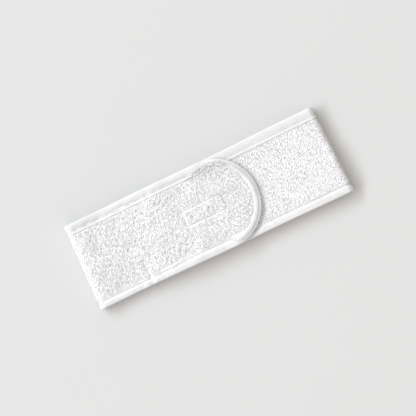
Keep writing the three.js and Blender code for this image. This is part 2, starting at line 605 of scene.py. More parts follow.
@dataclass(frozen=True)
class ThreadFinish(Finish):
    """Twisted sewing thread or nylon filament, with a fine slanting ply."""

    ply: float = 0.35 * MM
    lumps: float = 400.0
    shades: Span = (0.94, 1.03)
    depth: float = 0.06 * MM

    def make(self) -> Material:
        """Builds the material from the piece's own coordinates."""
        material, tree, shader = self.start()
        place = tree.nodes.new("ShaderNodeTexCoord").outputs["Object"]
        rough = self.roughness - 0.1, self.roughness + 0.1
        self.mottle(tree, shader, place, self.lumps, self.shades, rough)
        wave = self.pattern(tree, "ShaderNodeTexWave", place, WAVE_SCALE / self.ply, 2)
        wave.bands_direction = "DIAGONAL"
        self.bump(tree, shader, wave.outputs["Fac"], self.depth, 0.5)
        return material


@dataclass(frozen=True)
class FloorFinish(Finish):
    """Smooth pale board under the band."""

    lumps: float = 3.0
    shades: Span = (0.995, 1.005)

    def make(self) -> Material:
        """Builds the material from the piece's own coordinates."""
        material, tree, shader = self.start()
        place = tree.nodes.new("ShaderNodeTexCoord").outputs["Object"]
        self.mottle(tree, shader, place, self.lumps, self.shades, (0.88, 0.95))
        return material


@dataclass
class Finishes:
    """All finishes of the band, one for each material slot."""

    terry: Material = field(
        default_factory=YarnFinish("terry_yarn", (0.975, 0.97, 0.984), 0.95, 0.05).make
    )
    # The ground is the same white cotton as the loops; its colour is made darker as painted shade in the gaps
    # between the loops and in the bare stitch channel.
    ground: Material = field(
        default_factory=YarnFinish("terry_ground_painted_shade", (0.925, 0.92, 0.932), 0.95, 0.05, 1500).make
    )
    tape: Material = field(
        default_factory=TapeFinish("binding_tape", (0.72, 0.72, 0.724), 0.78, 0.05).make
    )
    # The sewing thread is really white; its colour is made darker as painted shade, so that the seam and
    # box-stitch furrows read as dark lines.
    thread: Material = field(
        default_factory=ThreadFinish("sewing_thread_painted_shade", (0.56, 0.56, 0.565), 0.55, 0.05).make
    )
    hook: Material = field(
        default_factory=ThreadFinish("hook_nylon", (0.76, 0.76, 0.76), 0.35, 0.0, 0.5 * MM).make
    )
    hook_base: Material = field(
        default_factory=TapeFinish("hook_tape_base", (0.74, 0.74, 0.74), 0.5, 0.0).make
    )
    loop_base: Material = field(
        default_factory=TapeFinish("loop_tape_base", (0.78, 0.78, 0.785), 0.8, 0.1).make
    )
    loop: Material = field(
        default_factory=ThreadFinish("loop_nylon", (0.82, 0.82, 0.82), 0.6, 0.2, 0.3 * MM).make
    )


# ---------------------------------------------------------------- pieces


@dataclass(frozen=True)
class Ride:
    """How a piece rides: with one body, or, for a piece meant to bend from one body to the next between two
    points, left where it lies.
    """

    body: str
    onto: Optional[str] = None
    start: Sequence[float] = (0, 0, 0)
    end: Sequence[float] = (0, 0, 1)

    def hold(self, piece: bpy.types.Object) -> None:
        """Attaches the piece to its body, or, for a piece with a second body, only bakes its placing into its
        mesh.

        Args:
            piece: a finished mesh object.
        """
        if self.onto is None:
            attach(piece, self.body)
        else:
            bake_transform(piece)


def board(cells: tuple[int, int], low: Span, high: Span, level: float = 0.0) -> bmesh.types.BMesh:
    """A flat grid of quads.

    Args:
        cells: how many along X and Y.
        low: its lowest corner.
        high: its highest corner.
        level: its height.

    Returns:
        A bmesh.
    """
    work = bmesh.new()
    bmesh.ops.create_grid(work, x_segments=cells[0], y_segments=cells[1], size=1)
    half = (high[0] - low[0]) / 2, (high[1] - low[1]) / 2
    middle = (low[0] + high[0]) / 2, (low[1] + high[1]) / 2
    bmesh.ops.scale(work, vec=(*half, 1), verts=work.verts)
    bmesh.ops.translate(work, vec=(*middle, level), verts=work.verts)
    return work


def taken(work: bmesh.types.BMesh) -> Shape:
    """Takes the shape out of a bmesh of triangles and quads, and frees the bmesh."""
    work.verts.index_update()
    corners = np.array([v.co for v in work.verts], float).reshape(-1, 3)
    rows = [[v.index for v in f.verts] for f in work.faces]
    faces = np.array([r + [-1] * (4 - len(r)) for r in rows], int)
    work.free()
    return corners, faces


def copied(corners: Array, faces: Array) -> Shape:
    """Copies of a small shape.

    Args:
        corners: the points of each copy in turn.
        faces: the faces of one copy.

    Returns:
        All copies as one shape.
    """
    shift = (np.arange(corners.shape[0]) * corners.shape[1])[:, None, None]
    return corners.reshape(-1, 3), np.where(faces[None] < 0, -1, faces[None] + shift).reshape(-1, 4)


def joined(shapes: Sequence[Shape]) -> Shape:
    """Several shapes as one."""
    starts = np.cumsum([0] + [len(points) for points, _ in shapes])
    rows = [np.where(faces < 0, -1, faces + start) for (_, faces), start in zip(shapes, starts)]
    return np.vstack([points for points, _ in shapes]), np.vstack(rows)


def turned_over(faces: Array) -> Array:
    """The same faces with their other side out."""
    quads = faces[:, 3] >= 0
    out = faces.copy()
    out[quads] = faces[quads][:, ::-1]
    out[~quads, :3] = faces[~quads][:, 2::-1]
    return out


def volume(points: Array, faces: Array) -> float:
    """Volume inside closed faces, negative where they face inwards."""
    p = points - points.mean(0)
    first = p[faces[:, 0]], p[faces[:, 1]], p[faces[:, 2]]
    total = np.einsum("ij,ij->", first[0], np.cross(first[1], first[2]))
    quads = faces[faces[:, 3] >= 0]
    second = p[quads[:, 0]], p[quads[:, 2]], p[quads[:, 3]]
    return float(total + np.einsum("ij,ij->", second[0], np.cross(second[1], second[2]))) / 6


def cloth(run: Run, s_range: Span, inset: float, cell: float, thick: float) -> Shape:
    """A closed sheet in strip space.

    Args:
        run: the run that it lies on.
        s_range: its ends along the strip.
        inset: how far it keeps from the strip's edge.
        cell: size of its cells.
        thick: its thickness.

    Returns:
        Its shape.
    """
    half = run.layout.half_width - inset
    cells = max(4, round((s_range[1] - s_range[0]) / cell)), round(2 * half / cell)
    work = board(cells, (s_range[0], -half), (s_range[1], half), -thick / 2)
    at = np.array([v.co for v in work.verts], float)
    outside = run.reach(at[:, 0], at[:, 1]) < inset - cell * 0.01
    gone = [v for v, out in zip(list(work.verts), outside) if out]
    bmesh.ops.delete(work, geom=gone, context="VERTS")
    bmesh.ops.recalc_face_normals(work, faces=work.faces)
    if sum(f.normal.z for f in work.faces) < 0:
        bmesh.ops.reverse_faces(work, faces=work.faces)
    bmesh.ops.solidify(work, geom=list(work.faces), thickness=-thick)
    bmesh.ops.recalc_face_normals(work, faces=work.faces)
    return taken(work)


def loop_template(yarn: float, sides: int = 3, steps: int = 5) -> Shape:
    """One loop of yarn, a half ring of unit radius standing on its two feet.

    Args:
        yarn: the yarn's radius as a share of the loop's.
        sides: sides of the yarn's section.
        steps: cells along the loop.

    Returns:
        Its shape.
    """
    work = bmesh.new()
    made = bmesh.ops.create_circle(work, cap_ends=True, segments=sides, radius=yarn)
    bmesh.ops.translate(work, vec=(1, 0, 0), verts=made["verts"])
    bmesh.ops.spin(
        work,
        geom=list(work.faces) + list(work.edges) + list(work.verts),
        axis=(0, 1, 0),
        cent=(0, 0, 0),
        angle=-math.pi,
        steps=steps,
        use_merge=False,
    )
    bmesh.ops.remove_doubles(work, verts=work.verts, dist=1e-6)
    bmesh.ops.recalc_face_normals(work, faces=work.faces)
    return taken(work)


def stitches(at: Array, turn: Array, size: Array) -> Shape:
    """Stitches, each a grain of thread.

    Args:
        at: the middle of each in strip space.
        turn: each one's turn about the strip's normal.
        size: each one's length, width and height.

    Returns:
        Their shape.
    """
    work = bmesh.new()
    bmesh.ops.create_uvsphere(work, u_segments=6, v_segments=5, radius=0.5)
    bmesh.ops.rotate(work, cent=(0, 0, 0), matrix=Matrix.Rotation(math.pi / 2, 3, "Y"), verts=work.verts)
    points, faces = taken(work)
    local = points[None, :, :] * size[:, None, :]
    c, s = np.cos(turn)[:, None], np.sin(turn)[:, None]
    x = local[..., 0] * c - local[..., 1] * s + at[:, 0, None]
    y = local[..., 0] * s + local[..., 1] * c + at[:, 1, None]
    z = local[..., 2] + at[:, 2, None]
    return copied(np.stack([x, y, z], axis=-1), faces)


@dataclass(frozen=True)
class Pile:
    """Loops of yarn: how thick they grow and how they lie."""

    spacing: float = 1.75 * MM
    yarn: float = 0.36 * MM
    span: Span = (0.45 * MM, 0.75 * MM)
    height: Span = (0.75 * MM, 1.3 * MM)
    lean: float = 0.6
    sunk: float = 0.15 * MM
    clump: float = 0.22
    jitter: float = 1.1
    swirl: float = 1.2
    stray: float = 0.9
    fold_press: float = 0.3

    def grow(
        self,
        run: Run,
        s_range: Span,
        v_range: Span,
        inset: Pattern,
        face: Face,
        base: float,
        seed: int,
        bare: Optional[Pattern] = None,
        lift: Optional[Pattern] = None,
    ) -> Shape:
        """Loops all over one face of a sheet.

        Args:
            run: the run that the sheet lies on.
            s_range: the pile's ends along the strip.
            v_range: its ends across the strip.
            inset: how far the pile keeps from the strip's edge.
            face: which face it grows on.
            base: height of the sheet's face from the strip's middle.
            seed: of the random draws.
            bare: how much shorter and sparser the loops are, from 0 for full to 1 for none.
            lift: height of what covers the sheet, such as the tape.

        Returns:
            The shape of all loops.
        """
        draw = np.random.default_rng(seed)
        rows = np.arange(*s_range, self.spacing)
        lines = np.arange(*v_range, self.spacing)
        s, v = (a.ravel() for a in np.meshgrid(rows, lines, indexing="ij"))
        s = s + draw.uniform(0, self.jitter, s.size) * self.spacing
        v = v + draw.uniform(0, self.jitter, s.size) * self.spacing
        keep = (run.reach(s, v) > inset(s, v)) & (s < s_range[1]) & (v < v_range[1])
        short = bare(s, v) if bare else np.zeros_like(s)
        keep &= draw.uniform(0, 1, s.size) > short
        s, v, short = s[keep], v[keep], short[keep]
        # Neighbouring loops lean alike and stand in clumps.
        lay = self.swirl * Waves(seed + 5, 5 * MM, 16 * MM, 8).read(s, v)
        lay = lay + draw.normal(0, self.stray, s.size)
        half_span = draw.uniform(*self.span, s.size)[:, None]
        clump = 1 + self.clump * Waves(seed + 8, 2.6 * MM, 6.5 * MM, 9).read(s, v)
        full = np.maximum(clump, 0.35) * (1 - 0.7 * short)
        # Loops round the left fold are pressed a little shorter.
        near_fold = smoothstep(1.5 * run.arc, 0.9 * run.arc, s) if run.side < 0 else np.zeros_like(s)
        bent = 1 - self.fold_press * near_fold
        tall = (draw.uniform(*self.height, s.size) * full * bent)[:, None]
        push = draw.uniform(0.1, self.lean, s.size)
        turn = draw.uniform(0, math.pi, s.size)[:, None]
        ring, faces = loop_template(RING_YARN)
        out = (np.hypot(ring[:, 0], ring[:, 2]) - 1) / RING_YARN * self.yarn
        angle = np.arctan2(ring[:, 2], ring[:, 0])
        x = (half_span + out) * np.cos(angle)
        y = np.broadcast_to(ring[:, 1] / RING_YARN * self.yarn, x.shape)
        z = (tall + out) * np.sin(angle)
        up = np.maximum(z, 0)
        c, k = np.cos(turn), np.sin(turn)
        px = x * c - y * k + (push * np.cos(lay))[:, None] * up + s[:, None]
        py = x * k + y * c + (push * np.sin(lay))[:, None] * up + v[:, None]
        foot = np.maximum(base, lift(s, v)) if lift else np.full_like(s, base)
        pz = (z + foot[:, None] - self.sunk) * face.value
        return copied(np.stack([px, py, pz], axis=-1), faces)


@dataclass(frozen=True)
class Tape:
    """The folded binding tape: its shape across the fold, for one edge of the band.

    Each pair of the profile is (distance from the edge, half thickness of the bound edge).
    """

    profile: tuple[Span, ...]
    pucker: float
    pitch: float
    seam: float
    stitch: float
    wall: float = 0.45 * MM

    @staticmethod
    def cut(
        profile: tuple[Span, ...], pucker: float, pitch: float, seam: float, stitch: float = 0.42
    ) -> "Tape":
        """A tape from sizes in millimetres.

        Args:
            profile: its shape across the fold.
            pucker: height of its gathers.
            pitch: shortest length of a gather.
            seam: the seam's distance from the edge.
            stitch: width of a stitch.

        Returns:
            The tape.
        """
        pairs = tuple((e * MM, h * MM) for e, h in profile)
        return Tape(pairs, pucker * MM, pitch * MM, seam * MM, stitch * MM)

    def height_at(self, e: Array) -> Array:
        """Half thickness of the bound edge at distances from the edge."""
        return np.interp(e, [p[0] for p in self.profile], [p[1] for p in self.profile])

    def section(self) -> tuple[Array, Array]:
        """The tape's middle line, from the inner face's hem round the edge to the outer face's hem.

        Returns:
            Distances from the edge, and heights.
        """
        e = np.linspace(0, 1, SECTION_POINTS) ** SECTION_CROWD * self.profile[-1][0]
        h = self.height_at(e)
        return np.concatenate([e[::-1], e[1:]]), np.concatenate([-h[::-1], h[1:]])


@dataclass(frozen=True)
class Binding:
    """A length of binding along the strip's edge, with its seam.

    A place on it is (u, e): u along the edge from the run's start, and e inwards from the edge. Near its end
    the tape changes to the shape of the next length.
    """

    label: str
    run: Run
    edge: Edge
    ends: Span
    tape: Tape
    onto: Tape
    tape_nodes: tuple[str, ...] = ()
    seam_nodes: tuple[str, ...] = ()

    def place(self, u: Array, e: Array) -> tuple[Array, Array]:
        """Strip coordinates s and v of places on the binding.

        Args:
            u: distances along the edge.
            e: distances inside the edge.

        Returns:
            s and v of each place.
        """
        run, half = self.run, self.run.layout.half_width
        if not run.corner:
            return u, self.edge.value * (half - e)
        last = run.s_of(run.end)
        straight, quarter = last - run.corner, run.corner * math.pi / 2
        flat_end = 2 * (half - run.corner)
        along = u - straight
        angle = np.clip(along / run.corner, 0, math.pi / 2)
        flat = np.clip(along - quarter, 0, flat_end)
        angle = angle + np.clip((along - quarter - flat_end) / run.corner, 0, math.pi / 2)
        rest = np.maximum(along - 2 * quarter - flat_end, 0)
        centre_v = half - run.corner - flat
        s = straight + np.minimum(along, 0) + (run.corner - e) * np.sin(angle) - rest
        v = centre_v + (run.corner - e) * np.cos(angle)
        return s, self.edge.value * v

    def mixed(self, u: Array, first: Array, second: Array) -> Array:
        """A size of the tape that changes along it, all of it in the last quarter of its length.

        Args:
            u: places along the edge.
            first: the size at the start.
            second: the size at the end.

        Returns:
            The size at each place.
        """
        share = smoothstep(0.25 * self.ends[0] + 0.75 * self.ends[1], self.ends[1], u)
        return first * (1 - share) + second * share

    def shape(self) -> tuple[Shape, Array]:
        """Folds the tape over the edge.

        Returns:
            Its shape in strip space, and its map coordinates.
        """
        sections = [t.section() for t in (self.tape, self.onto)]
        count, ends = len(sections[0][0]), self.ends
        cells = max(4, round((ends[1] - ends[0]) / TAPE_CELL)), count - 1
        work = board(cells, (ends[0], 0), (ends[1], count - 1))
        flat = np.array([v.co for v in work.verts], float)
        u, across = flat[:, 0], np.rint(flat[:, 1]).astype(int)
        e, h = (self.mixed(u, sections[0][i][across], sections[1][i][across]) for i in (0, 1))
        draw = Waves(SEED + 31 + 7 * (self.edge is Edge.UPPER), self.tape.pitch, 3.2 * self.tape.pitch, 9)
        channel = hump(0.62 * self.tape.profile[-1][0], 2.6 * MM, e)
        # The gathers are strongest about the creases of the outer end.
        strong = 1 + 1.2 * hump(60 * MM, 18 * MM, u) if self.run.side < 0 else np.ones_like(u)
        gather = self.tape.pucker * draw.read(u, 0.4 * e) * channel * strong
        h = h + np.sign(h) * np.maximum(gather, TAPE_LEAST - np.abs(h))
        s, v = self.place(u, e)
        for vert, place in zip(list(work.verts), np.column_stack([s, v, h])):
            vert.co = place
        work.normal_update()
        bmesh.ops.recalc_face_normals(work, faces=work.faces)
        top = max(work.faces, key=lambda f: f.calc_center_median().z)
        if top.normal.z < 0:
            bmesh.ops.reverse_faces(work, faces=work.faces)
        bmesh.ops.solidify(work, geom=list(work.faces), thickness=self.tape.wall)
        bmesh.ops.recalc_face_normals(work, faces=work.faces)
        points, shell = taken(work)
        return (points, shell), self.strip_map(points)

    def strip_map(self, points: Array) -> Array:
        """Map coordinates of the tape's points: along the strip, and round the fold of the tape."""
        run, along = self.run, points[:, 0]
        reach = run.reach(points[:, 0], points[:, 1])
        if run.corner:
            centre = run.s_of(run.end) - run.corner
            turned = np.arctan2(np.maximum(points[:, 0] - centre, 0), np.abs(points[:, 1]) + 1e-9)
            along = np.minimum(points[:, 0], centre) + run.corner * turned
        return np.column_stack([along, reach * np.where(points[:, 2] >= 0, 1, -1) * self.edge.value])

    def seam(self, seed: int) -> Shape:
        """The stitches along the binding, on both faces of the tape.

        Args:
            seed: of the random draws.

        Returns:
            Their shape in strip space.
        """
        draw = np.random.default_rng(SEED + seed + 77)
        length = self.ends[1] - self.ends[0]
        count = max(1, int(length / SEAM_PITCH))
        u = self.ends[0] + (np.arange(count) + 0.5) * length / count
        e = self.mixed(u, self.tape.seam, self.onto.seam) + draw.normal(0, 0.06 * MM, count)
        step = 0.2 * MM
        (s0, v0), (s1, v1) = self.place(u - step, e), self.place(u + step, e)
        turn = np.arctan2(v1 - v0, s1 - s0)
        height = self.mixed(u, self.tape.height_at(e), self.onto.height_at(e)) + SEAM_LIFT
        wide = self.mixed(u, self.tape.stitch, self.onto.stitch)
        size = np.column_stack([np.full(count, SEAM_STITCH), wide, np.full(count, SEAM_THICK)])
        parts = []
        for face in Face:
            at = np.column_stack([(s0 + s1) / 2, (v0 + v1) / 2, height * face.value])
            parts.append(stitches(at, turn + draw.normal(0, 0.03, count), size))
        return joined(parts)


# ---------------------------------------------------------------- the band

GROUND = 0.9 * MM  # thickness of the terry's woven ground
GROUND_CELL = 2.0 * MM
HIDDEN_EDGE = 1.6 * MM  # from the strip's edge to the terry's edge inside the tape
TAPE_CELL = 1.2 * MM
TAPE_LEAST = 0.08 * MM  # least half thickness of a bound edge
SECTION_POINTS = 27  # on each face of a tape's section
SECTION_CROWD = 1.2  # above 1, the section's points crowd towards the edge
RING_YARN = 0.3  # the yarn's radius in the loop's template
SEAM_PITCH, SEAM_STITCH, SEAM_THICK = 3.1 * MM, 2.7 * MM, 0.34 * MM
SEAM_LIFT = 0.22 * MM  # how far a stitch's middle stands over the tape's middle line
BOX_PITCH = 2.3 * MM
# A box stitch is wide, so that its darkened thread, painted shade, fills the stitch furrow.
BOX_STITCH = (2.5 * MM, 1.15 * MM, 0.5 * MM)  # length, width and height of a stitch of the box
PATCH_GAP = 0.05 * MM  # between the ground and a patch or its stitches
PATCH_THICK = 0.35 * MM
LOOPS_PER_PIECE = 150_000 / 32  # a loop has about 32 triangles

DENSE_PILE = Pile(1.2 * MM, 0.34 * MM, (0.22 * MM, 0.44 * MM), (0.7 * MM, 1.2 * MM), clump=0.27)
SMOOTH_PILE = Pile(1.2 * MM, 0.34 * MM, (0.22 * MM, 0.44 * MM), (0.7 * MM, 1.15 * MM), clump=0.14)
PRESSED_PILE = Pile(height=(0.45 * MM, 0.7 * MM))
HOOKS = Pile(1.15 * MM, 0.1 * MM, (0.2 * MM, 0.3 * MM), (0.5 * MM, 0.6 * MM), 0.15, 0.02 * MM, 0)
NAP = Pile(1.0 * MM, 0.1 * MM, (0.4 * MM, 0.9 * MM), (0.25 * MM, 0.5 * MM), 1.4, 0.02 * MM, 0)

UPPER_TAPE = Tape.cut(
    ((0, 0.02), (0.2, 0.7), (0.8, 1.2), (2.0, 1.5), (3.6, 1.5), (5.2, 1.28), (6.5, 0.85), (7.5, 0.5),
     (8.4, 0.6), (9.4, 1.1), (10.2, 1.35), (11.0, 1.1), (11.6, 0.4)),
    pucker=0.13, pitch=4.2, seam=7.8,
)
WIDE_TAPE = Tape.cut(
    ((0, 0.02), (0.2, 0.8), (0.7, 1.25), (1.8, 1.5), (3.6, 1.58), (5.6, 1.45), (7.2, 1.15), (8.2, 1.0),
     (9.2, 1.2), (10.2, 1.5), (11.0, 1.6), (11.8, 1.3), (12.3, 0.4)),
    pucker=0.08, pitch=5.0, seam=8.3,
)
LOWER_TAPE = Tape.cut(
    ((0, 0.02), (0.2, 0.85), (0.6, 1.25), (1.5, 1.45), (4.4, 1.5), (5.8, 1.2), (6.8, 0.5), (7.5, 0.2),
     (8.3, 0.7), (9.2, 1.15), (9.9, 1.1), (10.6, 0.3)),
    pucker=0.08, pitch=6.0, seam=7.4,
)
NARROW_TAPE = Tape.cut(
    ((0, 0.02), (0.25, 0.75), (0.7, 1.1), (1.6, 1.3), (3.2, 1.4), (4.4, 1.25), (5.1, 0.7), (5.7, 0.1),
     (6.6, 0.08), (7.3, 0.75), (8.0, 1.05), (8.6, 0.9), (9.3, 0.2)),
    pucker=0.14, pitch=6.0, seam=6.2, stitch=0.8,
)
FLAP_TAPE = Tape.cut(
    ((0, 0.02), (0.2, 0.8), (0.6, 1.15), (1.5, 1.4), (4.4, 1.45), (5.8, 1.15), (6.5, 0.6), (7.1, 0.1),
     (8.0, 0.08), (8.7, 0.7), (9.3, 1.05), (9.9, 1.0), (10.6, 0.3)),
    pucker=0.08, pitch=6.0, seam=7.6, stitch=0.8,
)
TIP_TAPE = Tape.cut(
    ((0, 0.02), (0.2, 0.4), (0.7, 0.65), (1.5, 0.95), (2.4, 1.25), (3.3, 1.55), (4.2, 1.82), (4.9, 1.9),
     (6.0, 1.85), (7.0, 1.5), (7.6, 0.5)),
    pucker=0.06, pitch=5.0, seam=3.3,
)


@dataclass
class SewnPart:
    """What the sewn sub-assemblies share: their finishes, the run they lie on and how they move."""

    finishes: Finishes
    run: Run
    name: str
    ride: Ride

    def dress(
        self,
        label: str,
        shape: Shape,
        material: Material,
        slot: str,
        nodes: Sequence[str] = (),
        strip: Optional[Array] = None,
        sharp: float = 50.0,
    ) -> bpy.types.Object:
        """Makes a piece from a shape in strip space, lays it and dresses it.

        Args:
            label: what its name ends with.
            shape: its shape in strip space.
            material: the finish.
            slot: the record's material slot; not used.
            nodes: the frame's nodes that it stands for.
            strip: the map's coordinates for each point, or None for (s, v).
            sharp: angle in degrees past which an edge is shaded sharp, 0 for none.

        Returns:
            The object.
        """
        corners, faces = shape
        name = f"{self.name}_{label}"
        laid = self.run.place(corners)
        if volume(laid, faces) < 0:
            faces = turned_over(faces)
        mesh = bpy.data.meshes.new(name)
        sizes = np.where(faces[:, 3] < 0, 3, 4)
        order = faces.reshape(-1)
        order = order[order >= 0]
        mesh.vertices.add(len(corners))
        mesh.loops.add(len(order))
        mesh.polygons.add(len(faces))
        mesh.vertices.foreach_set("co", laid.astype(np.float32).ravel())
        mesh.loops.foreach_set("vertex_index", order.astype(np.int32))
        mesh.polygons.foreach_set("loop_start", np.concatenate([[0], np.cumsum(sizes)[:-1]]).astype(np.int32))
        mesh.update(calc_edges=True)
        on_map = corners[:, :2] if strip is None else strip
        mesh.uv_layers.new(name="strip").data.foreach_set("uv", on_map[order].astype(np.float32).ravel())
        mesh.polygons.foreach_set("use_smooth", np.ones(len(faces), bool))
        if sharp:
            mesh.set_sharp_from_angle(angle=math.radians(sharp))
        mesh.materials.append(material)
        mesh.validate()
        piece = bpy.data.objects.new(name, mesh)
        bpy.context.scene.collection.objects.link(piece)
        self.ride.hold(piece)
        if nodes:
            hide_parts(*nodes)
        LOG.info("%s: %d faces", name, len(faces))
        return piece


@dataclass
class Section(SewnPart):
    """A length of the strip that moves as one: terry, tape and seams."""

    s_range: Span
    bindings: tuple[Binding, ...]
    cloth_nodes: tuple[str, ...]
    seed: int
    inset: Pattern
    pile: Pile = DENSE_PILE
    low_pile: tuple[Face, ...] = ()
    bare: Optional[Pattern] = None
    held: str = "laid"
    rests_on: tuple[str, ...] = ()
    spare: float = 0.0
    made: list[bpy.types.Object] = field(default_factory=list)

    def build(self) -> None:
        """Builds and dresses every piece of the section."""
        sheet = cloth(self.run, self.s_range, HIDDEN_EDGE, GROUND_CELL, GROUND)
        ground = self.dress("ground", sheet, self.finishes.ground, "terry", self.cloth_nodes)
        self.build_pile()
        self.build_bindings()
        self.declare(ground)

    def build_pile(self) -> None:
        """Grows the loops on both faces, in bands narrow enough for one piece each."""
        half = self.run.layout.half_width
        for face in Face:
            if face in self.low_pile:
                pile = PRESSED_PILE
            else:
                pile = self.pile if face is Face.OUTER else Pile()
            loops = (2 * half / pile.spacing) * ((self.s_range[1] - self.s_range[0]) / pile.spacing)
            bands = max(1, math.ceil(loops / LOOPS_PER_PIECE))
            edges = np.linspace(*self.s_range, bands + 1)
            for i, ends in enumerate(zip(edges[:-1], edges[1:])):
                seed = SEED + self.seed + 10 * i + (face is Face.INNER)
                loops_here = pile.grow(
                    self.run, ends, (-half, half), self.inset, face, GROUND / 2, seed, self.bare, self.cover
                )
                label = f"pile_{face.name.lower()}_{i + 1}"
                self.made.append(self.dress(label, loops_here, self.finishes.terry, "terry", sharp=0))

    def cover(self, s: Array, v: Array) -> Array:
        """Height of the tape over the terry, which changes to the tip's shape along the outer end.

        Args:
            s: places along the strip.
            v: places across it.

        Returns:
            Heights from the strip's middle.
        """
        reach = self.run.reach(s, v)
        usual = UPPER_TAPE.height_at(reach)
        if self.run.side >= 0:
            return usual
        place = self.run.x_of(s)
        share = ramp(4, 18, place)
        # Beside the tip the terry climbs over the upper tape.
        over = ramp(-14, 2, place) * ramp(30, 14, place) * (v > 0)
        skirt = 1.3 * MM * ramp(16, 9.5, reach) * over
        return np.maximum(usual * (1 - share) + TIP_TAPE.height_at(reach) * share, skirt)

    def build_bindings(self) -> None:
        """Folds the binding over the edges and sews it down."""
        for one in self.bindings:
            shape, strip = one.shape()
            tape = self.dress(
                f"binding_{one.label}", shape, self.finishes.tape, "binding_tape", one.tape_nodes, strip
            )
            # The seam's thread is darkened as painted shade along the tape's furrow.
            seam, thread = one.seam(self.seed), self.finishes.thread
            sewn = self.dress(f"seam_{one.label}", seam, thread, "thread", one.seam_nodes, sharp=0)
            self.made += [tape, sewn]

    def declare(self, ground: bpy.types.Object) -> None:
        """Args:
            ground: the ground cloth; not used.
        """
        length = self.s_range[1] - self.s_range[0] + self.spare
        width = 2 * self.run.layout.half_width
        area = None
        if self.run.corner:
            s, v = np.meshgrid(np.linspace(*self.s_range, 200), np.linspace(-width / 2, width / 2, 200))
            area = float((self.run.reach(s.ravel(), v.ravel()) > 0).mean()) * length * width


@dataclass
class Patch(SewnPart):
    """A hook or loop patch with its box stitch."""

    face: Face
    box: tuple[Vector, Vector]
    stitch_box: tuple[Vector, Vector]
    hooks: bool
    slot: str
    seed: int

    def ends(self, box: tuple[Vector, Vector]) -> tuple[Span, Span]:
        """A box's ends along and across the strip."""
        s = sorted((self.run.s_of(box[0].x), self.run.s_of(box[1].x)))
        return (s[0], s[1]), (box[0].y, box[1].y)

    def build(self) -> None:
        """Builds the patch, its surface and its stitching."""
        (low, high), (below, above) = self.ends(self.box)
        base, out = GROUND / 2 + PATCH_GAP, self.face.value
        work = board((round((high - low) / (1.5 * MM)), 12), (low, below), (high, above), out * base)
        made = bmesh.ops.extrude_face_region(work, geom=list(work.faces))
        lifted = [g for g in made["geom"] if isinstance(g, bmesh.types.BMVert)]
        bmesh.ops.translate(work, vec=(0, 0, out * PATCH_THICK), verts=lifted)
        bmesh.ops.recalc_face_normals(work, faces=work.faces)
        woven = self.finishes.hook_base if self.hooks else self.finishes.loop_base
        self.dress("tape", taken(work), woven, self.slot, (self.name,))
        hem = 0.6 * MM
        surface = (HOOKS if self.hooks else NAP).grow(
            self.run,
            (low + hem, high - hem),
            (below + hem, above - hem),
            lambda s, v: np.zeros_like(s),
            self.face,
            base + PATCH_THICK,
            SEED + self.seed,
        )
        nylon = self.finishes.hook if self.hooks else self.finishes.loop
        self.dress("hooks" if self.hooks else "nap", surface, nylon, self.slot, sharp=0)
        self.build_stitch((out * (base + PATCH_THICK), -out * base))

    def build_stitch(self, heights: Span) -> None:
        """Sews the patch round its edge, on both faces of the cloth.

        Args:
            heights: of the stitches on the patch and on the cloth's other face.
        """
        s, v = self.ends(self.stitch_box)
        corners = [(s[0], v[0]), (s[1], v[0]), (s[1], v[1]), (s[0], v[1])]
        at, turn = [], []
        for (s0, v0), (s1, v1) in zip(corners, corners[1:] + corners[:1]):
            count = max(2, round(math.hypot(s1 - s0, v1 - v0) / BOX_PITCH))
            t = (np.arange(count) + 0.5) / count
            at.append(np.column_stack([s0 + (s1 - s0) * t, v0 + (v1 - v0) * t]))
            turn.append(np.full(count, math.atan2(v1 - v0, s1 - s0)))
        flat, angle = np.vstack(at), np.concatenate(turn)
        size = np.tile(BOX_STITCH, (len(flat), 1))
        both = [stitches(np.column_stack([flat, np.full(len(flat), h)]), angle, size) for h in heights]
        # The box stitch's thread is darkened as painted shade along the furrow round the patch.
        self.dress("sewing", joined(both), self.finishes.thread, "thread", (f"{self.name}_stitch",), sharp=0)


